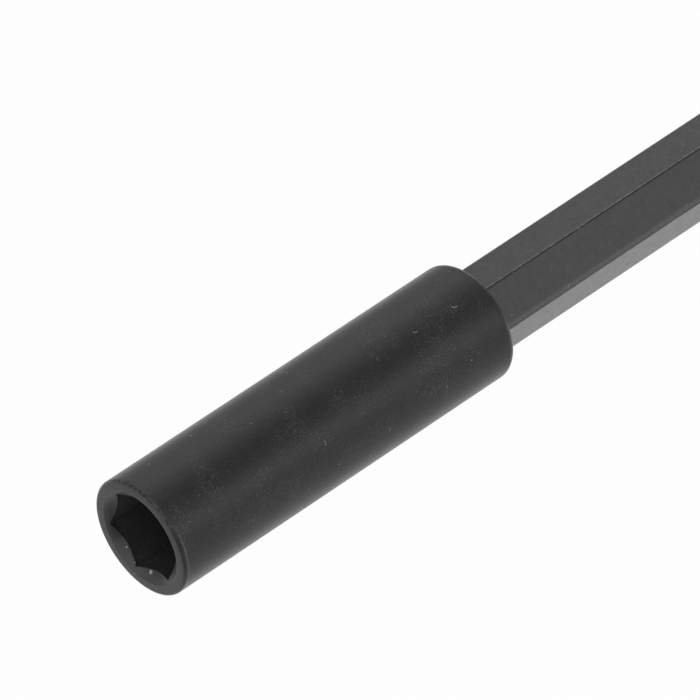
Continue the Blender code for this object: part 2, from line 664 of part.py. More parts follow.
def make_spindle_screw():
    """Cap screw with a hexagonal key recess."""
    shank = SCREW_DIAMETER / 2
    head = shank + SCREW_HEAD_STEP
    length = SPINDLE_AT + SCREW_LENGTH - SCREW_HEAD_AT
    outline = [
        (0, 0),
        (head - EDGE_BREAK, 0),
        (head, EDGE_BREAK),
        (head, SCREW_HEAD_LENGTH),
        (shank, SCREW_HEAD_LENGTH),
        (shank, length - EDGE_BREAK),
        (shank - EDGE_BREAK, length),
        (0, length),
    ]
    screw = turned("spindle_screw", outline)
    key = hex_bar("screw_key", SCREW_KEY, -TOOL_MARGIN, SCREW_KEY_DEPTH)
    shape_with(screw, "DIFFERENCE", tool("screw_key", key))
    settle(screw, cap_axis, SCREW_HEAD_AT - BALLS_AT, bright_steel)


def waist(radius, start, length, depth):
    """Points of a hollow round the side, between two lands."""
    half = length / 2
    hollow_radius = (half * half + depth * depth) / (2 * depth)
    reach = math.degrees(math.asin(half / hollow_radius))
    centre = (radius - depth + hollow_radius, start + half)
    return arc(centre, hollow_radius, 180 + reach, 180 - reach, 2 * ARC_POINTS)


def make_swivel_cap():
    """Cap with a hollow waist, a recess for the pad and a blind hole for the spindle."""
    hole = SPINDLE_RADIUS + PRESS_GAP
    recess = CAP_LENGTH - PAD_THICKNESS - PRESS_GAP
    recess_radius = PAD_RADIUS + PRESS_GAP
    edge = CAP_EDGE_RADIUS
    outline = [
        (0, CAP_SEAT),
        (hole, CAP_SEAT),
        (hole, 0),
        (CAP_RADIUS - CAP_FRONT_CHAMFER, 0),
        (CAP_RADIUS, CAP_FRONT_CHAMFER),
    ]
    outline += waist(CAP_RADIUS, CAP_FRONT_LAND, CAP_WAIST_LENGTH, CAP_WAIST_DEPTH)
    outline += arc((CAP_RADIUS - edge, CAP_LENGTH - edge), edge, 0, 90)
    outline += [(recess_radius, CAP_LENGTH), (recess_radius, recess), (0, recess)]
    settle(turned("swivel_cap", outline, HANDLE_STEPS), cap_axis, CAP_AT - BALLS_AT, dark_aluminium)


def make_cap_pad():
    """Pad with a shallow dish for the fingertip."""
    dish_radius = (PAD_RADIUS * PAD_RADIUS + PAD_DISH * PAD_DISH) / (2 * PAD_DISH)
    reach = math.degrees(math.asin(PAD_RADIUS / dish_radius))
    centre = (0, PAD_THICKNESS - PAD_DISH + dish_radius)
    outline = [(0, 0), (PAD_RADIUS, 0)]
    outline += arc(centre, dish_radius, -90 + reach, -90)[:-1]
    outline += [(0, PAD_THICKNESS - PAD_DISH)]
    pad_at = CAP_AT + CAP_LENGTH - PAD_THICKNESS
    settle(turned("cap_pad", outline, HANDLE_STEPS), cap_axis, pad_at - BALLS_AT, soft_black)


clear_scene()
parts = new_collection("precision_screwdriver")
cutters = new_collection("cutters")

tool_axis = new_axis("tool_axis", -TOOL_LENGTH / 2)
blade_axis = new_axis("blade_axis", 0, tool_axis)
cap_axis = new_axis("cap_axis", BALLS_AT, tool_axis)
cage_axis = new_axis("cage_axis", BALLS_AT, tool_axis)

black_steel = finish("black_steel", (0.035, 0.035, 0.037), 0.42, 0.6)
bright_steel = finish("bright_steel", (0.55, 0.55, 0.54), 0.3, 1.0)
spring_steel = finish("spring_steel", (0.3, 0.3, 0.31), 0.35, 1.0)
bearing_steel = finish("bearing_steel", (0.68, 0.68, 0.68), 0.12, 1.0)
nickel = finish("nickel", (0.62, 0.61, 0.57), 0.2, 1.0)
dark_aluminium = finish("dark_aluminium", (0.05, 0.052, 0.056), 0.38, 0.9)
bronze = finish("bronze", (0.5, 0.31, 0.14), 0.35, 1.0)
nylon = finish("nylon", (0.75, 0.73, 0.66), 0.5, 0.0)
soft_black = finish("soft_black", (0.02, 0.02, 0.021), 0.7, 0.0)

make_socket_sleeve()
make_hex_shaft()
make_magnets()
make_chuck_insert()
make_blade_clip()
make_nose_cone()
make_grip_sleeve()
make_handle_barrel()
make_races()
make_balls_and_cage()
make_circlip()
make_thrust_washer()
make_spindle()
make_spindle_washer()
make_spindle_screw()
make_swivel_cap()
make_cap_pad()

for cutter in list(cutters.objects):
    bpy.data.objects.remove(cutter)
bpy.data.collections.remove(cutters)

print(f"tool length {TOOL_LENGTH / MM:.1f} mm, socket diameter {2 * SOCKET_RADIUS / MM:.2f} mm")
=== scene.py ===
import math

import bmesh
import bpy
from mathutils import Matrix, Vector


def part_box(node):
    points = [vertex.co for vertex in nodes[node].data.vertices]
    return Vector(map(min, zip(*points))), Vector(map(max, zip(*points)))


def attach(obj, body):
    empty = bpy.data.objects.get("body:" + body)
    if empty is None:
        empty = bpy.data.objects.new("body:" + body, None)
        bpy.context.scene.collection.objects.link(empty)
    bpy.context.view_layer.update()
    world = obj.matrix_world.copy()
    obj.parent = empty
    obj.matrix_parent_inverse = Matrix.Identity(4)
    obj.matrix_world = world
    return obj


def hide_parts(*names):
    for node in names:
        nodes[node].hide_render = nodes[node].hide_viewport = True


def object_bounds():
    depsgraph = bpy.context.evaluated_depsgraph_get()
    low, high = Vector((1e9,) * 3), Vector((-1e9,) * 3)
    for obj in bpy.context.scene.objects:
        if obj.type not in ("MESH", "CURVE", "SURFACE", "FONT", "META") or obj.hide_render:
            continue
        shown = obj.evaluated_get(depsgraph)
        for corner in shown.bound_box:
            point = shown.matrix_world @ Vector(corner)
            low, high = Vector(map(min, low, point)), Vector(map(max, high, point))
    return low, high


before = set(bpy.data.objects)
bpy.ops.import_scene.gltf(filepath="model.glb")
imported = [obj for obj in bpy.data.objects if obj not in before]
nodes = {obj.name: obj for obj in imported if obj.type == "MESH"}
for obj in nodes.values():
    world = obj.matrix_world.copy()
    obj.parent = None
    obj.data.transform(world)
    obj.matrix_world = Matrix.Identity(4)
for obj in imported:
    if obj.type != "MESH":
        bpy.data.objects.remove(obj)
cadLow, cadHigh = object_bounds()
mm = 0.001
weld = 1e-8  # metres between points that count as one
roundSteps = 144
slimSteps = 96

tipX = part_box("socket_sleeve")[0].x
axisZ = sum(corner.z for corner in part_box("socket_sleeve")) / 2
print("frame loaded, tool axis at height", round(axisZ / mm, 3), "mm")

shot = {
    "lens": 455.92,
    "sensor": 36,
    "clipStart": 0.01,
    "azimuth": -36.48,
    "elevation": 32.96,
    "roll": 11.48,
    "fromMouth": (-0.200287, -0.290493, 0.236846),
}


def setCamera():
    turn = math.radians(shot["azimuth"])
    lift = math.radians(shot["elevation"])
    roll = math.radians(shot["roll"])
    back = Vector((math.sin(turn) * math.cos(lift), -math.cos(turn) * math.cos(lift), math.sin(lift)))
    level = Vector((math.cos(turn), math.sin(turn), 0))
    upright = back.cross(level)
    right = level * math.cos(roll) - upright * math.sin(roll)
    up = upright * math.cos(roll) + level * math.sin(roll)
    camera = bpy.data.objects.new("camera", bpy.data.cameras.new("camera"))
    bpy.context.scene.collection.objects.link(camera)
    camera.data.lens = shot["lens"]
    camera.data.sensor_width = shot["sensor"]
    camera.data.clip_start = shot["clipStart"]
    place = Vector((tipX, 0, axisZ)) + Vector(shot["fromMouth"])
    camera.matrix_world = Matrix.Translation(place) @ Matrix((right, up, back)).transposed().to_4x4()
    bpy.context.scene.camera = camera


class Wire:
    # a node socket that can be added, multiplied and so on

    def __init__(self, tree, socket=None):
        self.tree = tree
        self.socket = socket

    def node(self, kind, settings=None, values=None, out=0):
        made = self.tree.nodes.new(kind)
        for key, value in (settings or {}).items():
            setattr(made, key, value)
        for key, value in (values or {}).items():
            if isinstance(value, Wire):
                self.tree.links.new(value.socket, made.inputs[key])
            else:
                made.inputs[key].default_value = value
        return Wire(self.tree, made.outputs[out])

    def maths(self, operation, *values):
        return self.node("ShaderNodeMath", {"operation": operation}, dict(enumerate(values)))

    def __add__(self, other):
        return self.maths("ADD", self, other)

    def __sub__(self, other):
        return self.maths("SUBTRACT", self, other)

    def __rsub__(self, other):
        return self.maths("SUBTRACT", other, self)

    def __mul__(self, other):
        return self.maths("MULTIPLY", self, other)

    def __truediv__(self, other):
        return self.maths("DIVIDE", self, other)

    def size(self):
        return self.maths("ABSOLUTE", self)

    def root(self):
        return self.maths("SQRT", self)

    def upTo(self, other):
        return self.maths("MINIMUM", self, other)

    def atLeast(self, other):
        return self.maths("MAXIMUM", self, other)

    def step(self, low, high, start=0.0, end=1.0):
        # smooth change from start to end while this value goes from low to high
        return self.node(
            "ShaderNodeMapRange",
            {"interpolation_type": "SMOOTHSTEP"},
            {"Value": self, "From Min": low, "From Max": high, "To Min": start, "To Max": end},
        )

    def near(self, middle, width):
        # 1 at the middle, 0 beyond the width on both sides
        return (self - middle).size().step(0, width, 1, 0)

    def mixed(self, other, share):
        # colours: this one where share is 0, the other where it is 1
        return self.node("ShaderNodeMix", {"data_type": "RGBA"}, {"Factor": share, 6: self, 7: other}, 2)

    def tinted(self, colour):
        return self.node("ShaderNodeVectorMath", {"operation": "SCALE"}, {0: colour, "Scale": self})

    def apart(self):
        return [self.node("ShaderNodeSeparateXYZ", {}, {"Vector": self}, out) for out in range(3)]


def grey(value):
    return (value, value, value, 1)


def newFinish(name, steady):
    material = bpy.data.materials.new(name)
    material.use_nodes = True
    shader = material.node_tree.nodes["Principled BSDF"]
    for label, value in steady.items():
        shader.inputs[label].default_value = value
    return material, shader, Wire(material.node_tree)


def feed(shader, wires):
    for label, wire in wires.items():
        wire.tree.links.new(wire.socket, shader.inputs[label])


def fromMouth(start):
    # millimetres from the mouth of the socket, on the tool's axis
    scale = 1 / mm
    values = {
        "Vector": start.node("ShaderNodeTexCoord", out="Object"),
        "Location": (-tipX * scale, 0, -axisZ * scale),
        "Scale": (scale, scale, scale),
    }
    return start.node("ShaderNodeMapping", {}, values)


def polar(place):
    along, side, height = place.apart()
    return along, side, height, (side * side + height * height).root()


def noise(place, size, detail=2.0, rough=0.55):
    # values about 0.5, in patches of the given size in millimetres
    values = {"Vector": place, "Scale": 1 / size, "Detail": detail, "Roughness": rough}
    return place.node("ShaderNodeTexNoise", {}, values)


def unwrapped(place, around):
    # the surface laid flat: along the tool, and round it at the given radius
    along, side, height, radius = polar(place)
    turn = side.maths("ARCTAN2", side, height)
    return place.node("ShaderNodeCombineXYZ", {}, {"X": along - radius, "Y": turn * around})


def cells(place, size, flat, out):
    settings = {"voronoi_dimensions": "2D" if flat else "3D"}
    return place.node("ShaderNodeTexVoronoi", settings, {"Vector": place, "Scale": 1 / size}, out)


def specks(place, cell, radius, share, flat=False):
    # round dots of about the given radius, one in some of the cells
    away = cells(place, cell, flat, "Distance")
    pick, size, spare = cells(place, cell, flat, "Color").apart()
    edge = (size * 0.7 + 0.6) * (radius / cell)
    return (1 - (away / edge).step(0.55, 1.0)) * pick.step(1 - share, 1 - share + 0.01)


def curls(flat, cell, radius, share):
    # short bent fibres, one in some of the cells
    middle = cells(flat, cell, True, "Position")
    pick, turn, size = cells(flat, cell, True, "Color").apart()
    away = flat.node("ShaderNodeVectorMath", {"operation": "SUBTRACT"}, {0: flat, 1: middle})
    across, over, spare = away.apart()
    bow = (size * 0.9 + 0.5) * radius
    angle = turn * (2 * math.pi)
    facing = (across * angle.maths("COSINE", angle) + over * angle.maths("SINE", angle)) / bow
    thread = ((across * across + over * over).root() / bow).near(1, 0.2)
    return thread * facing.step(0.4, 0.65) * pick.step(1 - share, 1 - share + 0.01)


def bump(height, depth):
    return height.node("ShaderNodeBump", {}, {"Height": height, "Distance": depth * mm, "Strength": 1.0})


blacking = {
    "tint": (1.0, 1.0, 1.03),
    "cloudy": 0.7,
    "grainy": 1.8,
    "paintedBoreLight": 0.018,  # painted light added inside the hole
    "bare": 0.2,  # grey of rubbed steel, and of the painted highlight on the sleeve
    "dusty": 0.5,  # grey of dust
    "motes": (0.22, 0.036, 0.5),  # cell, radius, share of the cells
    "grit": (0.7, 0.055, 0.04),
    "fibres": (1.3, 0.12, 0.13),
}


def blackSteelFinish(name, look, edges, paintedShading):
    # edges gives where bare steel shows, with a painted highlight among it on the sleeve; the second
    # function gives the painted shade that darkens the blacking and the painted light added to it
    steady = {
        "Metallic": 0.0,
        "IOR": look["ior"],
        "Coat IOR": 1.3,
        "Coat Roughness": 0.2,
        "Sheen Weight": look["haze"],
        "Sheen Roughness": 0.3,
    }
    material, shader, start = newFinish(name, steady)
    place = fromMouth(start)
    along, side, height, radius = polar(place)
    flat = unwrapped(place, look["around"])
    cloud = noise(place, look["cloud"], 5.0, 0.62)
    grain = noise(place, look["grain"], 3.0, 0.7)
    film = cloud.step(0.48, 0.72) * grain.step(0.4, 0.75) * look["film"]
    # painted light: the hole made paler than its blacking
    inside = radius.step(look["bore"], look["bore"] + 0.02, 1.0, 0.0) * along.step(0.2, 0.6)
    uneven = (cloud - 0.5) * blacking["cloudy"] + (grain - 0.5) * blacking["grainy"] + 1
    tone = uneven * look["shade"] + film + inside * blacking["paintedBoreLight"]
    # painted shade scales the tone down and painted light is added to it
    paintedShadeFactor, paintedLightAdded = paintedShading(along, side, height, radius)
    steel = (tone * paintedShadeFactor + paintedLightAdded).tinted(blacking["tint"])
    scraped = noise(place, 0.16, 3.0, 0.7).step(0.42, 0.62, 0.25, 1.0)
    steel = steel.mixed(grey(blacking["bare"]), edges(along, side, height, radius) * scraped)
    motes = specks(flat, *blacking["motes"], True) * cloud.step(0.4, 0.64, 0.04, 0.26)
    fibres = curls(flat, *blacking["fibres"]) * noise(place, 2.5).step(0.35, 0.6, 0.6, 1.2)
    dust = (specks(flat, *blacking["grit"], True) * 0.9).atLeast(fibres).atLeast(motes)
    for spot, size in look["lint"]:
        away = place.node("ShaderNodeVectorMath", {"operation": "DISTANCE"}, {0: place, 1: spot}, "Value")
        dust = dust.atLeast(away.step(size * 0.6, size, 1.3, 0.0))
    steel = steel.mixed(grey(blacking["dusty"]), (dust * look["dust"]).upTo(1))
    rough = (cloud - 0.5) * 0.14 + (grain - 0.5) * 0.12 + look["rough"] + dust * 0.3
    relief = grain * look["grainDepth"] + noise(place, 0.4, 2.0) * look["waveDepth"]
    oil = ((noise(place, 0.35, 4.0, 0.7) - 0.5) * 1.8 + 1) * look["oil"]
    wires = {"Base Color": steel, "Roughness": rough, "Coat Weight": oil, "Normal": bump(relief, 1.0)}
    feed(shader, wires)
    return material


metalwork = {"ior": 1.5, "bare": (0.42, 0.42, 0.43, 1), "dusty": 0.5, "dust": (0.9, 0.05, 0.25)}


def metalFinish(name, look, worn=None):
    # turned metal: fine rings round the axis, uneven patches, and bare metal where it is worn
    material, shader, start = newFinish(name, {"Metallic": look["metallic"], "IOR": metalwork["ior"]})
    place = fromMouth(start)
    along, side, height, radius = polar(place)
    rings = start.node("ShaderNodeCombineXYZ", {}, {"X": along, "Y": radius})
    lines = noise(rings, look["ring"], 2.0, 0.7)
    cloud = noise(place, look["cloud"], 3.0)
    grain = noise(place, look["grain"], 2.0)
    tone = (cloud - 0.5) * look["uneven"] + (lines - 0.5) * look["lined"] + 1
    colour = tone.tinted(look["colour"])
    rough = (cloud - 0.5) * 0.16 + (lines - 0.5) * 0.12 + look["rough"]
    if worn:
        rubbed = worn(along, side, height, radius) * noise(place, 1.4, 4.0, 0.6).step(0.36, 0.7)
        colour = colour.mixed(metalwork["bare"], rubbed)
        rough = rough - rubbed * 0.1
    dust = specks(place, *metalwork["dust"]) * look["dust"]
    colour = colour.mixed(grey(metalwork["dusty"]), dust)
    relief = lines * look["lineDepth"] + grain * look["grainDepth"]
    rough = rough + dust * 0.3
    feed(shader, {"Base Color": colour, "Roughness": rough, "Normal": bump(relief, 1.0)})
    return material


softwork = {"dusty": 0.45, "dust": (0.7, 0.05, 0.4)}


def softFinish(name, look):
    # plastic and rubber: fine pebbles, slight patches, a little dust
    material, shader, start = newFinish(name, {"Metallic": 0.0, "IOR": look["ior"]})
    place = fromMouth(start)
    cloud = noise(place, look["cloud"], 3.0)
    grain = noise(place, look["grain"], 2.0)
    dust = specks(place, *softwork["dust"]) * look["dust"]
    colour = ((cloud - 0.5) * look["uneven"] + 1).tinted(look["colour"])
    colour = colour.mixed(grey(softwork["dusty"]), dust)
    rough = (cloud - 0.5) * 0.2 + look["rough"]
    feed(shader, {"Base Color": colour, "Roughness": rough, "Normal": bump(grain, look["grainDepth"])})
    return material


def softOutline(points, steps=6, closed=True):
    # points are (distance along the tool, radius, rounding), all in millimetres
    outline = []
    count = len(points)
    for i, (along, radius, rounding) in enumerate(points):
        corner = Vector((along, radius))
        if not rounding or (not closed and i in (0, count - 1)):
            outline.append(corner)
            continue
        before = (Vector(points[i - 1][:2]) - corner).normalized()
        after = (Vector(points[(i + 1) % count][:2]) - corner).normalized()
        half = before.angle(after) / 2
        centre = corner + (before + after).normalized() * (rounding / math.sin(half))
        first = corner + before * (rounding / math.tan(half)) - centre
        last = corner + after * (rounding / math.tan(half)) - centre
        sweep = first.angle_signed(last)
        for step in range(steps + 1):
            outline.append(centre + Matrix.Rotation(-sweep * step / steps, 2) @ first)
    return outline


def turned(name, startX, outline, steps, closed=True):
    shape = bmesh.new()
    ring = [shape.verts.new((startX + p.x * mm, 0, axisZ - p.y * mm)) for p in outline]
    pairs = list(zip(ring, ring[1:]))
    if closed:
        pairs.append((ring[-1], ring[0]))
    edges = [shape.edges.new(pair) for pair in pairs]
    turn = {"cent": (0, 0, axisZ), "axis": (1, 0, 0), "angle": 2 * math.pi}
    bmesh.ops.spin(shape, geom=ring + edges, steps=steps, use_merge=True, **turn)
    bmesh.ops.remove_doubles(shape, verts=shape.verts, dist=weld)
    bmesh.ops.recalc_face_normals(shape, faces=shape.faces)
    mesh = bpy.data.meshes.new(name)
    shape.to_mesh(mesh)
    shape.free()
    piece = bpy.data.objects.new(name, mesh)
    bpy.context.scene.collection.objects.link(piece)
    return piece


def baked(piece):
    # the modifiers' result becomes the piece's own mesh
    bpy.context.view_layer.update()
    graph = bpy.context.evaluated_depsgraph_get()
    mesh = bpy.data.meshes.new_from_object(piece.evaluated_get(graph))
    piece.modifiers.clear()
    piece.data = mesh
    return piece


def shaped(piece, operation, other):
    cut = piece.modifiers.new("cut", "BOOLEAN")
    cut.operation = operation
    cut.solver = "EXACT"
    cut.object = other
    baked(piece)
    bpy.data.objects.remove(other)


def softened(piece, width):
    soft = piece.modifiers.new("soft", "BEVEL")
    soft.width = width * mm
    soft.segments = 2
    soft.limit_method = "ANGLE"
    soft.angle_limit = math.radians(25)
    baked(piece)


def finished(piece, material, body, slot, *replaced, crease=28):
    mesh = piece.data
    mesh.materials.clear()
    mesh.materials.append(material)
    mesh.shade_smooth()
    mesh.set_sharp_from_angle(angle=math.radians(crease))
    flat = piece.modifiers.new("flat", "WEIGHTED_NORMAL")
    flat.keep_sharp = True
    baked(piece)
    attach(piece, body)
    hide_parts(*replaced)
    print("made", piece.name, len(piece.data.polygons), "faces")


def newTree(name, inputs):
    tree = bpy.data.node_groups.new(name, "GeometryNodeTree")
    tree.interface.new_socket("Geometry", in_out="INPUT", socket_type="NodeSocketGeometry")
    for label, kind in inputs.items():
        tree.interface.new_socket(label, in_out="INPUT", socket_type="NodeSocket" + kind)
    tree.interface.new_socket("Geometry", in_out="OUTPUT", socket_type="NodeSocketGeometry")
    source = tree.nodes.new("NodeGroupInput")
    given = {label: Wire(tree, source.outputs[label]) for label in ["Geometry", *inputs]}
    return tree, Wire(tree), given


def endTree(tree, result, material):
    real = result.node("GeometryNodeRealizeInstances", {}, {"Geometry": result})
    painted = real.node("GeometryNodeSetMaterial", {}, {"Geometry": real, "Material": material})
    tree.links.new(painted.socket, tree.nodes.new("NodeGroupOutput").inputs["Geometry"])
    return tree


def grown(piece, tree, values):
    growth = piece.modifiers.new(tree.name, "NODES")
    growth.node_group = tree
    for item in tree.interface.items_tree:
        if item.in_out == "INPUT" and item.name in values:
            growth[item.identifier] = values[item.name]
    return baked(piece)


def emptyPiece(name):
    piece = bpy.data.objects.new(name, bpy.data.meshes.new(name))
    bpy.context.scene.collection.objects.link(piece)
    return piece


def makeHexBarTree():
    # hexagonal bar along the tool, with rounded corners and two flats level
    tree, start, given = newTree(
        "hexBar",
        {
            "Across Flats": "Float",
            "Corner Rounding": "Float",
            "Corner Steps": "Int",
            "Length": "Float",
            "Turn": "Float",
            "Place": "Vector",
            "Finish": "Material",
        },
    )
    radius = given["Across Flats"] / math.sqrt(3)
    corners = {"Resolution": 6, "Radius": radius}
    circle = start.node("GeometryNodeCurvePrimitiveCircle", {"mode": "RADIUS"}, corners)
    rounding = {"Curve": circle, "Count": given["Corner Steps"], "Radius": given["Corner Rounding"]}
    hexagon = start.node("GeometryNodeFilletCurve", {"mode": "POLY"}, rounding)
    level = start.node("ShaderNodeCombineXYZ", {}, {"Z": given["Turn"] + math.radians(30)})
    hexagon = start.node("GeometryNodeTransform", {}, {"Geometry": hexagon, "Rotation": level})
    tip = start.node("ShaderNodeCombineXYZ", {}, {"Z": given["Length"]})
    ends = {"Start": (0, 0, 0), "End": tip}
    path = start.node("GeometryNodeCurvePrimitiveLine", {"mode": "POINTS"}, ends)
    bar = {"Curve": path, "Profile Curve": hexagon, "Fill Caps": True}
    bar = start.node("GeometryNodeCurveToMesh", {}, bar)
    bar = start.node("GeometryNodeMergeByDistance", {}, {"Geometry": bar, "Distance": weld})
    laid = {"Geometry": bar, "Translation": given["Place"], "Rotation": (0, math.pi / 2, 0)}
    return endTree(tree, start.node("GeometryNodeTransform", {}, laid), given["Finish"])


def hexBar(name, startX, length, acrossFlats, rounding, steps, turn=0):
    values = {
        "Across Flats": acrossFlats * mm,
        "Corner Rounding": rounding * mm,
        "Corner Steps": steps,
        "Length": length * mm,
        "Turn": math.radians(turn),
        "Place": (startX, 0, axisZ),
    }
    return grown(emptyPiece(name), hexBarTree, values)


def makeKnurlTree():
    # straight teeth cut into a turned sleeve
    tree, start, given = newTree(
        "knurl",
        {"Teeth": "Float", "Root": "Float", "Crest": "Float", "Axis Height": "Float", "Finish": "Material"},
    )
    along, side, rise = start.node("GeometryNodeInputPosition").apart()
    height = rise - given["Axis Height"]
    radius = (side * side + height * height).root()
    turn = height.maths("ARCTAN2", side, 0 - height) * given["Teeth"] / (2 * math.pi)
    tooth = turn.maths("PINGPONG", turn, 0.5) * 2
    limit = given["Root"] + (given["Crest"] - given["Root"]) * tooth
    share = radius.upTo(limit) / radius
    moved = {"X": along, "Y": side * share, "Z": height * share + given["Axis Height"]}
    moved = start.node("ShaderNodeCombineXYZ", {}, moved)
    cut = start.node("GeometryNodeSetPosition", {}, {"Geometry": given["Geometry"], "Position": moved})
    return endTree(tree, cut, given["Finish"])


def makeBallRingTree():
    tree, start, given = newTree(
        "ballRing",
        {
            "Balls": "Int",
            "Ball Radius": "Float",
            "Pitch Radius": "Float",
            "Place": "Vector",
            "Finish": "Material",
        },
    )
    places = {"Vertices": given["Balls"], "Radius": given["Pitch Radius"]}
    circle = start.node("GeometryNodeMeshCircle", {}, places)
    ball = start.node("GeometryNodeMeshIcoSphere", {}, {"Radius": given["Ball Radius"], "Subdivisions": 4})
    balls = start.node("GeometryNodeInstanceOnPoints", {}, {"Points": circle, "Instance": ball})
    laid = {"Geometry": balls, "Translation": given["Place"], "Rotation": (0, math.pi / 2, 0)}
    return endTree(tree, start.node("GeometryNodeTransform", {}, laid), given["Finish"])


def boxed(node):
    # start, length and half height of a CAD node; the last two in millimetres
    low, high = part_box(node)
    return low.x, (high.x - low.x) / mm, (high.z - low.z) / 2 / mm


sleeve = {
    "length": 22.23,
    "frontRounding": 0.18,
    "rearRounding": 0.55,
    "leadInRadius": 2.5902,
    "leadInAngle": 50,
    "rimRounding": 0.05,
    "hole": 4.14,  # across flats
    "holeFrom": 8,  # where its cut starts, within the mouth
    "holeCorner": (0.04, 3),  # rounding, steps
    "spareInside": 0.1,  # left in the turned blank for the hexagon to cut
    "mouth": (11.3, 4.19, -3.5),  # the part for the bit: depth, across flats, turn in degrees
    "steps": 192,
    "wearAndHighlight": {  # bare steel at the mouth and the rear, a pale line near the front, a painted highlight on the top: place along the sleeve, width, strength
        "front": (0.24, 0.06, 0.9),
        # painted highlight: the upper half of the front rounding made paler
        "paintedTopHighlight": (0.06, 0.16, 0.45),
        "mouth": (0.02, 0.06, 0.25),
        "rear": (0.12, 0.12, 0.25),  # from the rear end
    },
    "paintedShading": {  # painted shade on the rim and beside the hole, painted light low in the lead-in: direction from the axis as side and height, strength
        "paintedRimShade": ((-0.57, 0.82), 0.95),
        "left": ((0.94, 0.34), 0.9),
        "low": ((0.26, -0.97), 0.066),
    },
    "look": {
        "around": 3.19,
        "lint": [((0.311, 0.155, -2.215), 0.13), ((0.327, 1.722, -1.37), 0.06)],  # place, size
        "bore": 2.4,
        "dust": 0.7,
        "shade": 0.026,
        "film": 0.036,
        "haze": 0.14,
        "ior": 1.4,
        "oil": 0.0,
        "rough": 0.36,
        "cloud": 1.9,
        "grain": 0.12,
        "grainDepth": 0.002,
        "waveDepth": 0.0,
    },
}


def leadIn():
    # the blank's inner radius, and the depth at which the lead-in's cone comes down to it
    inner = sleeve["hole"] / 2 - sleeve["spareInside"]
    return inner, (sleeve["leadInRadius"] - inner) / math.tan(math.radians(sleeve["leadInAngle"]))


def makeSleeve():
    startX, spare, radius = boxed("socket_sleeve")
    length = sleeve["length"]
    rim = sleeve["leadInRadius"]
    slope = math.tan(math.radians(sleeve["leadInAngle"]))
    inner, depth = leadIn()
    outline = softOutline(
        [
            (depth, inner, 0),
            (0, rim, sleeve["rimRounding"]),
            (0, radius, sleeve["frontRounding"]),
            (length, radius, sleeve["rearRounding"]),
            (length, inner, 0),
        ],
        steps=10,
    )
    piece = turned("bitSocketSleeve", startX, outline, sleeve["steps"])
    mouthDepth, mouthFlats, mouthTurn = sleeve["mouth"]
    corner = sleeve["holeCorner"]
    shaped(piece, "DIFFERENCE", hexBar("mouth", startX - mm, mouthDepth + 1, mouthFlats, *corner, mouthTurn))
    holeStart = startX + sleeve["holeFrom"] * mm
    shaped(piece, "DIFFERENCE", hexBar("hole", holeStart, length, sleeve["hole"], *corner))
    wearAndHighlight = sleeve["wearAndHighlight"]

    def edges(along, side, height, distance):
        def line(name, place):
            spot, width, strength = wearAndHighlight[name]
            return place.near(spot, width) * strength

        outside = distance.step(radius - 0.1, radius - 0.02)
        # a pale line round the outer edge near the front, on the lower part and the sides only
        front = line("front", along) * outside * height.step(0.6, 2.2, 1.0, 0.0)
        # painted highlight on the upper half of the front rounding
        paintedTopHighlight = line("paintedTopHighlight", along) * distance.step(radius - 0.22, radius - 0.08) * height.step(0.8, 2.2)
        mouth = line("mouth", along) * distance.near(rim, 0.07)
        rear = line("rear", length - along)
        return (front + paintedTopHighlight + mouth + rear).upTo(1)

    def paintedShading(along, side, height, distance):
        # painted shade on the rim's upper side and on the lead-in beside the hole, painted light in the low
        # part of the lead-in
        def part(name, low, high):
            (aside, above), strength = sleeve["paintedShading"][name]
            return ((side * aside + height * above) / distance).step(low, high) * strength

        cone = (along * slope + distance).step(rim + 0.02, rim + 0.08, 1.0, 0.0) * along.step(0.0, 0.04)
        face = along.step(0.06, 0.12, 1.0, 0.0) * distance.step(rim - 0.02, rim + 0.04)
        paintedRimShade = face * part("paintedRimShade", 0.0, 0.85)
        left = cone * part("left", 0.62, 0.8) * distance.step(2.36, 2.5, 1.0, 0.0)
        # painted light: the low part of the lead-in made paler
        low = cone * part("low", 0.45, 0.95) * distance.step(2.2, 2.38, 0.5, 1.0)
        return 1 - paintedRimShade - left, low

    finish = blackSteelFinish("blackenedSleeve", sleeve["look"], edges, paintedShading)
    finished(piece, finish, "blade", "black_steel", "socket_sleeve")


shaft = {
    "cornerRounding": 0.14,
    "ridge": (1.09, 0.06),  # rubbed line on the level faces: from the middle, width
    "band": (0.11, 0.22, 0.055),  # painted highlight, a pale band above the side corners: height, width, strength
    # painted shade on the face that lies uppermost
    "topPaintedShade": 0.8,
    "notchRounding": 0.08,
    "endFace": 1.8,
    "notchRadius": 2.1594,
    "notchHalf": 0.37,
    "blank": 2.7094,
    "look": {
        "around": 2.2,
        "lint": [],
        "bore": 0.0,
        "dust": 0.4,
        "shade": 0.018,
        "film": 0.012,
        "haze": 0.0,
        "ior": 1.42,
        "oil": 0.66,
        "rough": 0.28,
        "cloud": 1.6,
        "grain": 0.16,
        "grainDepth": 0.0012,
        "waveDepth": 0.0015,
    },
}


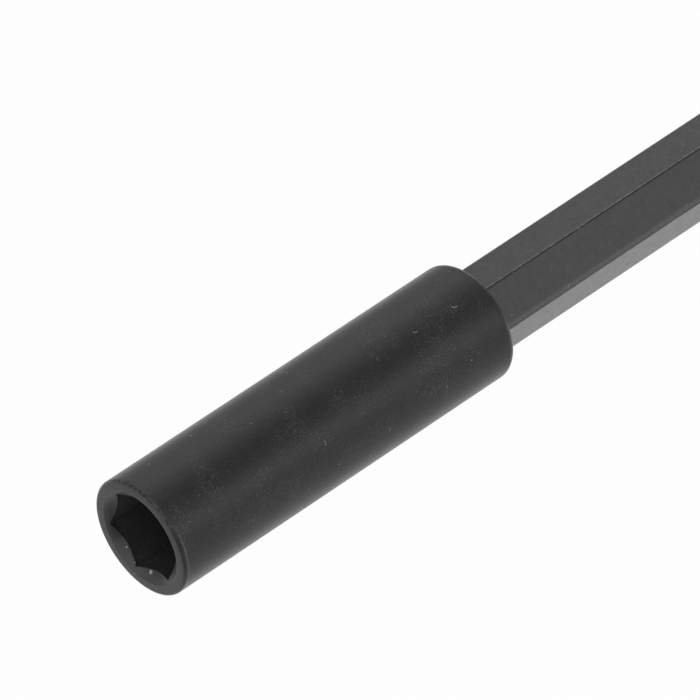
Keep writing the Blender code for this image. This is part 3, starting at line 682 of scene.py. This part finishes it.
def makeShaft():
    startX, length, flat = boxed("hex_shaft")
    blank = shaft["blank"]
    run = blank - shaft["endFace"]
    flare = blank - shaft["notchRadius"]
    notch = (sum(corner.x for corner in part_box("blade_clip")) / 2 - startX) / mm
    half = shaft["notchHalf"]
    outline = softOutline(
        [
            (0, 0, 0),
            (0, shaft["endFace"], 0),
            (run, blank, 0),
            (notch - half - flare, blank, 0),
            (notch - half, shaft["notchRadius"], shaft["notchRounding"]),
            (notch + half, shaft["notchRadius"], shaft["notchRounding"]),
            (notch + half + flare, blank, 0),
            (length - run, blank, 0),
            (length, shaft["endFace"], 0),
            (length, 0, 0),
        ],
        closed=False,
    )
    piece = turned("hexShaft", startX, outline, slimSteps, closed=False)
    shaped(piece, "INTERSECT", hexBar("bar", startX - mm, length + 2, 2 * flat, shaft["cornerRounding"], 8))
    level = (flat - 0.05, flat - 0.03)  # heights between which a level face begins

    def edges(along, side, height, distance):
        return side.size().near(*shaft["ridge"]) * height.size().step(*level)

    def paintedShading(along, side, height, distance):
        # painted shade makes the face that lies uppermost darker, and a painted highlight runs as a pale
        # band above the corners at the sides
        bandHeight, bandWidth, strength = shaft["band"]
        band = height.near(bandHeight, bandWidth) * side.size().step(2.0, 2.1)
        return 1 - height.step(*level) * shaft["topPaintedShade"], band * strength

    finish = blackSteelFinish("blackenedShaft", shaft["look"], edges, paintedShading)
    finished(piece, finish, "blade", "black_steel", "hex_shaft")


magnetLook = {
    "colour": (0.62, 0.61, 0.57),
    "metallic": 1.0,
    "rough": 0.24,
    "ring": 0.1,
    "cloud": 0.9,
    "grain": 0.1,
    "uneven": 0.25,
    "lined": 0.05,
    "lineDepth": 0.0002,
    "grainDepth": 0.0006,
    "dust": 0.6,
}


def makeMagnets():
    nickel = metalFinish("nickelPlate", magnetLook)
    startX, length, radius = boxed("socket_magnet")
    outline = [(0, 0, 0), (0, radius, 0.15), (length, radius, 0.15), (length, 0, 0)]
    piece = turned("socketMagnet", startX, softOutline(outline, closed=False), slimSteps, closed=False)
    finished(piece, nickel, "blade", "nickel", "socket_magnet")
    nodes["chuck_magnet"].data.materials[0] = nickel


chuck = {
    "radius": 3.5402,
    "edge": 0.3,
    "flange": (7.64, 10.14, 4.5402),  # from, to, radius
    "groove": (5.66, 6.34, 2.8694),
    "pocket": (15.04, 2.5602),  # from, radius
    "look": {
        "colour": (0.5, 0.5, 0.49),
        "metallic": 1.0,
        "rough": 0.3,
        "ring": 0.05,
        "cloud": 2.5,
        "grain": 0.12,
        "uneven": 0.2,
        "lined": 0.3,
        "lineDepth": 0.0012,
        "grainDepth": 0.0005,
        "dust": 0.4,
    },
}


def makeChuck():
    startX, length, spare = boxed("chuck_insert")
    inner, depth = leadIn()
    radius = chuck["radius"]
    flangeStart, flangeEnd, flangeRadius = chuck["flange"]
    grooveStart, grooveEnd, grooveRadius = chuck["groove"]
    pocketStart, pocketRadius = chuck["pocket"]
    outline = softOutline(
        [
            (depth, inner, 0),
            (0, sleeve["leadInRadius"], sleeve["rimRounding"]),
            (0, radius, chuck["edge"]),
            (flangeStart, radius, 0.1),
            (flangeStart, flangeRadius, 0.15),
            (flangeEnd, flangeRadius, 0.15),
            (flangeEnd, radius, 0.1),
            (length, radius, 0.15),
            (length, pocketRadius, 0.05),
            (pocketStart, pocketRadius, 0),
            (pocketStart, inner, 0),
            (grooveEnd, inner, 0),
            (grooveEnd, grooveRadius, 0.05),
            (grooveStart, grooveRadius, 0.05),
            (grooveStart, inner, 0),
        ],
    )
    piece = turned("chuckInsert", startX, outline, roundSteps)
    hole = hexBar("hole", startX - mm, pocketStart + 2, sleeve["hole"], *sleeve["holeCorner"])
    shaped(piece, "DIFFERENCE", hole)
    steel = metalFinish("machinedSteel", chuck["look"])
    finished(piece, steel, "handle", "bright_steel", "chuck_insert")
    for node in ("cap_spindle", "spindle_washer", "spindle_screw"):
        nodes[node].data.materials[0] = steel


handle = {
    "corner": (1.5, 10),  # rounding, steps
    "softEdge": 0.06,
    "cornerWear": (7.66, 7.84, 0.08),  # radius from, to, strength
    "crestWear": (6.4, 6.6, 0.14),
    "face": 6.70025,
    "blank": 8.4832,
    "endRun": 1.0294,
    "spigot": 4.6802,
    "bore": 3.5802,
    "look": {
        "colour": (0.085, 0.088, 0.095),
        "metallic": 0.9,
        "rough": 0.38,
        "ring": 0.07,
        "cloud": 5.0,
        "grain": 0.09,
        "uneven": 0.3,
        "lined": 0.25,
        "lineDepth": 0.0006,
        "grainDepth": 0.0011,
        "dust": 0.5,
    },
}


def handleWear(name):
    begin, end, strength = handle[name]

    def worn(along, side, height, radius):
        return radius.step(begin, end) * strength

    return worn


nose = {"tip": 4.4802, "tipRounding": 0.4, "land": 3.5, "thread": 4.7202, "bridge": 7.0}


def makeNose():
    startX, length, flat = boxed("nose_cone")
    run = handle["endRun"]
    outline = softOutline(
        [
            (0, handle["bore"], 0.15),
            (0, nose["tip"], nose["tipRounding"]),
            (length - run - nose["land"], handle["blank"], 0),
            (length - run, handle["blank"], 0),
            (length, handle["face"], 0.12),
            (length, nose["thread"], 0.1),
            (nose["bridge"], nose["thread"], 0),
            (nose["bridge"], handle["bore"], 0),
        ],
    )
    piece = turned("noseCone", startX, outline, roundSteps)
    shaped(piece, "INTERSECT", hexBar("bar", startX - mm, length + 2, 2 * flat, *handle["corner"]))
    softened(piece, handle["softEdge"])
    finished(piece, anodised, "handle", "dark_aluminium", "nose_cone", crease=16)


grip = {
    "bands": 5,
    "groove": 0.9,
    "depth": 0.55,
    "belowFace": 0.1,
    "bore": 4.7202,
    "teeth": 36,
    "root": 6.2502,
    "crest": 6.7752,
    "rows": 8,  # along each slope at a band's end
    "steps": 432,
}


def makeGrip():
    startX, length, spare = boxed("grip_sleeve")
    floor = handle["face"] - grip["belowFace"] - grip["depth"]
    band = (length - (grip["bands"] - 1) * grip["groove"]) / grip["bands"]
    slope = [row / grip["rows"] * grip["depth"] for row in range(grip["rows"] + 1)]
    points = [(0, grip["bore"], 0)]
    for i in range(grip["bands"]):
        begin = i * (band + grip["groove"])
        points += [(begin + rise, floor + rise, 0) for rise in slope]
        points += [(begin + band - rise, floor + rise, 0) for rise in reversed(slope)]
    points.append((length, grip["bore"], 0))
    piece = turned("knurledGrip", startX, softOutline(points), grip["steps"])
    teeth = {"Teeth": float(grip["teeth"]), "Root": grip["root"] * mm, "Crest": grip["crest"] * mm}
    grown(piece, makeKnurlTree(), {**teeth, "Axis Height": axisZ, "Finish": knurled})
    finished(piece, knurled, "handle", "dark_aluminium", "grip_sleeve")


barrel = {"chamfer": 0.3, "shoulder": 36.5, "seat": (70.38, 4.54), "groove": (72.92, 73.5, 4.84)}


def makeBarrel():
    startX, length, flat = boxed("handle_barrel")
    run = handle["endRun"]
    seatStart, seatRadius = barrel["seat"]
    grooveStart, grooveEnd, grooveRadius = barrel["groove"]
    outline = softOutline(
        [
            (0, handle["bore"], 0),
            (0, handle["spigot"] - barrel["chamfer"], 0.05),
            (barrel["chamfer"], handle["spigot"], 0.05),
            (barrel["shoulder"], handle["spigot"], 0),
            (barrel["shoulder"], handle["face"], 0.12),
            (barrel["shoulder"] + run, handle["blank"], 0),
            (length - run, handle["blank"], 0),
            (length, handle["face"], 0.12),
            (length, seatRadius, 0.1),
            (grooveEnd, seatRadius, 0),
            (grooveEnd, grooveRadius, 0),
            (grooveStart, grooveRadius, 0),
            (grooveStart, seatRadius, 0),
            (seatStart, seatRadius, 0),
            (seatStart, handle["bore"], 0),
        ],
    )
    piece = turned("handleBarrel", startX, outline, roundSteps)
    shaped(piece, "INTERSECT", hexBar("bar", startX - mm, length + 2, 2 * flat, *handle["corner"]))
    softened(piece, handle["softEdge"])
    finished(piece, anodised, "handle", "dark_aluminium", "handle_barrel")


washer = {
    "inner": 4.84,
    "edge": 0.06,
    "look": {
        "colour": (0.5, 0.31, 0.14),
        "metallic": 1.0,
        "rough": 0.34,
        "ring": 0.06,
        "cloud": 1.5,
        "grain": 0.1,
        "uneven": 0.4,
        "lined": 0.3,
        "lineDepth": 0.0012,
        "grainDepth": 0.0006,
        "dust": 0.3,
    },
}


def makeThrustWasher():
    startX, length, radius = boxed("thrust_washer")
    inner = washer["inner"]
    corners = [(0, inner), (0, radius), (length, radius), (length, inner)]
    points = [(*corner, washer["edge"]) for corner in corners]
    piece = turned("thrustWasher", startX, softOutline(points, steps=3), roundSteps)
    finished(piece, metalFinish("plainBronze", washer["look"]), "handle", "bronze", "thrust_washer")


cap = {
    "hole": (2.0, 5.5),  # radius, depth
    "chamfer": 0.3,
    "waist": (1.8, 5.2, 0.55),  # from, length, depth
    "waistRows": 12,  # on each side of its middle
    "edge": 1.2,
    "recess": (4.8402, 8.76),  # radius, from
}


def makeCap():
    startX, length, radius = boxed("swivel_cap")
    holeRadius, holeDepth = cap["hole"]
    waistStart, waistLength, waistDepth = cap["waist"]
    recessRadius, recessStart = cap["recess"]
    half = waistLength / 2
    bow = (half * half + waistDepth * waistDepth) / (2 * waistDepth)
    hollow = []
    rows = cap["waistRows"]
    for i in range(2 * rows + 1):
        away = half * (i / rows - 1)
        sink = math.sqrt(bow * bow - away * away) - (bow - waistDepth)
        hollow.append((waistStart + half + away, radius - sink, 0))
    outline = softOutline(
        [
            (holeDepth, 0, 0),
            (holeDepth, holeRadius, 0),
            (0, holeRadius, 0.1),
            (0, radius - cap["chamfer"], 0.06),
            (cap["chamfer"], radius, 0.06),
            *hollow,
            (length, radius, cap["edge"]),
            (length, recessRadius, 0.12),
            (recessStart, recessRadius, 0),
            (recessStart, 0, 0),
        ],
        steps=8,
        closed=False,
    )
    piece = turned("swivelCap", startX, outline, roundSteps, closed=False)
    finished(piece, anodised, "cap", "dark_aluminium", "swivel_cap")


pad = {
    "dish": 0.5,
    "dishRows": 16,
    "rim": 0.12,
    "lip": 0.05,
    "look": {
        "colour": (0.02, 0.02, 0.021),
        "ior": 1.45,
        "rough": 0.62,
        "cloud": 1.5,
        "grain": 0.11,
        "uneven": 0.5,
        "grainDepth": 0.025,
        "dust": 0.5,
    },
}


def makePad():
    startX, length, radius = boxed("cap_pad")
    bow = (radius * radius + pad["dish"] ** 2) / (2 * pad["dish"])
    dish = []
    for i in range(pad["dishRows"] + 1):
        away = (radius - pad["rim"]) * (1 - i / pad["dishRows"])
        dish.append((length - pad["dish"] + bow - math.sqrt(bow * bow - away * away), away, 0))
    edge = [(0, 0, 0), (0, radius, 0.05), (length - pad["lip"], radius, 0.08)]
    outline = softOutline([*edge, *dish], closed=False)
    piece = turned("capPad", startX, outline, roundSteps, closed=False)
    finished(piece, softFinish("softPad", pad["look"]), "cap", "soft_black", "cap_pad")


bearing = {
    "balls": 7,
    "ballRadius": 0.57,
    "pitchRadius": 3.25,
    "look": {
        "colour": (0.68, 0.68, 0.68),
        "metallic": 1.0,
        "rough": 0.12,
        "ring": 0.05,
        "cloud": 1.2,
        "grain": 0.1,
        "uneven": 0.1,
        "lined": 0.1,
        "lineDepth": 0.0003,
        "grainDepth": 0.0001,
        "dust": 0.1,
    },
    "cage": {
        "colour": (0.75, 0.73, 0.66),
        "ior": 1.5,
        "rough": 0.45,
        "cloud": 0.8,
        "grain": 0.12,
        "uneven": 0.12,
        "grainDepth": 0.001,
        "dust": 0.1,
    },
}


def makeBearing():
    polished = metalFinish("polishedSteel", bearing["look"])
    values = {
        "Balls": bearing["balls"],
        "Ball Radius": bearing["ballRadius"] * mm,
        "Pitch Radius": bearing["pitchRadius"] * mm,
        "Place": (sum(corner.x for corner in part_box("bearing_outer_race")) / 2, 0, axisZ),
        "Finish": polished,
    }
    piece = grown(emptyPiece("bearingBalls"), makeBallRingTree(), values)
    balls = [f"bearing_ball_{i + 1}" for i in range(bearing["balls"])]
    finished(piece, polished, "cage", "bearing_steel", *balls)
    for node in ("bearing_outer_race", "bearing_inner_race"):
        nodes[node].data.materials[0] = polished
    nodes["bearing_cage"].data.materials[0] = softFinish("naturalNylon", bearing["cage"])


springLook = {
    "colour": (0.28, 0.285, 0.3),
    "metallic": 1.0,
    "rough": 0.36,
    "ring": 0.08,
    "cloud": 0.8,
    "grain": 0.08,
    "uneven": 0.3,
    "lined": 0.1,
    "lineDepth": 0.0003,
    "grainDepth": 0.0008,
    "dust": 0.2,
}


def paintSprings():
    spring = metalFinish("temperedSpring", springLook)
    for node in ("blade_clip", "bearing_circlip"):
        nodes[node].data.materials[0] = spring


studio = {
    "sky": 0.365,
    "glow": {0: 0.11, 25: 0.13, 50: 0.45, 75: 0.75, 150: 0.168, 175: 1.3},  # by angle over the tool
    "glowWidth": 30,
    "glowAside": 0.4989,  # how far the glow stands towards the cap
    "frontGlow": ((-0.85, -0.3, 0.3), 55, 0.5),  # towards, width, strength
    "floorSeen": 0.975,  # share of the floor that shows as plain white
    "floorMirrored": (0.76, 1.0),  # the same in reflections, in front of the tool and below it
    "mirrorChange": (-4.4, -1.8),  # millimetres to the side between which the one becomes the other
    "floorReach": 4,
    "floorGap": 0.01,  # millimetres below the tool
    "paper": {"Base Color": (0.9, 0.9, 0.9, 1), "Roughness": 0.9, "Specular IOR Level": 0.1},
}


def makeSky():
    world = bpy.data.worlds.new("studio")
    bpy.context.scene.world = world
    world.use_nodes = True
    tree = world.node_tree
    tree.nodes.clear()
    start = Wire(tree)
    towards = start.node("ShaderNodeTexCoord", out="Generated")
    level = studio["sky"]
    glows = [studio["frontGlow"]]
    aside = studio["glowAside"]
    across = math.sqrt(1 - aside * aside)
    for angle, strength in studio["glow"].items():
        turn = math.radians(angle)
        middle = (aside, across * math.cos(turn), across * math.sin(turn))
        glows.append((middle, studio["glowWidth"], strength))
    for middle, width, strength in glows:
        both = {0: towards, 1: Vector(middle).normalized()}
        facing = start.node("ShaderNodeVectorMath", {"operation": "DOT_PRODUCT"}, both, "Value")
        level = facing.step(math.cos(math.radians(width)), 1.0) * strength + level
    sky = start.node("ShaderNodeBackground", {}, {"Color": grey(1), "Strength": level})
    white = start.node("ShaderNodeBackground", {}, {"Color": grey(1), "Strength": 1.0})
    seen = start.node("ShaderNodeLightPath", out="Is Camera Ray")
    both = start.node("ShaderNodeMixShader", {}, {0: seen, 1: sky, 2: white})
    tree.links.new(both.socket, tree.nodes.new("ShaderNodeOutputWorld").inputs["Surface"])


def makeFloor():
    mesh = bpy.data.meshes.new("floor")
    reach = studio["floorReach"]
    level = cadLow.z - studio["floorGap"] * mm
    corners = [(-reach, -reach), (reach, -reach), (reach, reach), (-reach, reach)]
    mesh.from_pydata([(x, y, level) for x, y in corners], [], [(0, 1, 2, 3)])
    floor = bpy.data.objects.new("floor", mesh)
    bpy.context.scene.collection.objects.link(floor)
    paper, shader, start = newFinish("paper", studio["paper"])
    tree = paper.node_tree
    straight = start.node("ShaderNodeLightPath", out="Is Camera Ray")
    mirrored = start.node("ShaderNodeLightPath", out="Is Glossy Ray")
    through = start.node("ShaderNodeLightPath", out="Is Transmission Ray")
    aside = start.node("ShaderNodeTexCoord", out="Object").apart()[1]
    begin, end = studio["mirrorChange"]
    bright = aside.step(begin * mm, end * mm, *studio["floorMirrored"])
    share = (straight + through).upTo(1) * studio["floorSeen"] + mirrored * bright
    glow = start.node("ShaderNodeEmission", {}, {"Color": grey(1), "Strength": 1.0})
    plain = Wire(tree, shader.outputs[0])
    both = start.node("ShaderNodeMixShader", {}, {0: share.upTo(1), 1: plain, 2: glow})
    tree.links.new(both.socket, tree.nodes["Material Output"].inputs["Surface"])
    mesh.materials.append(paper)
    bpy.context.scene.view_settings.view_transform = "Standard"
    print("studio ready")


setCamera()
makeSky()
makeFloor()
hexBarTree = makeHexBarTree()
anodised = metalFinish("darkAnodised", handle["look"], handleWear("cornerWear"))
knurled = metalFinish("darkAnodisedKnurl", handle["look"], handleWear("crestWear"))
makeSleeve()
makeShaft()
makeMagnets()
makeChuck()
makeNose()
makeGrip()
makeBarrel()
makeThrustWasher()
makeCap()
makePad()
makeBearing()
paintSprings()
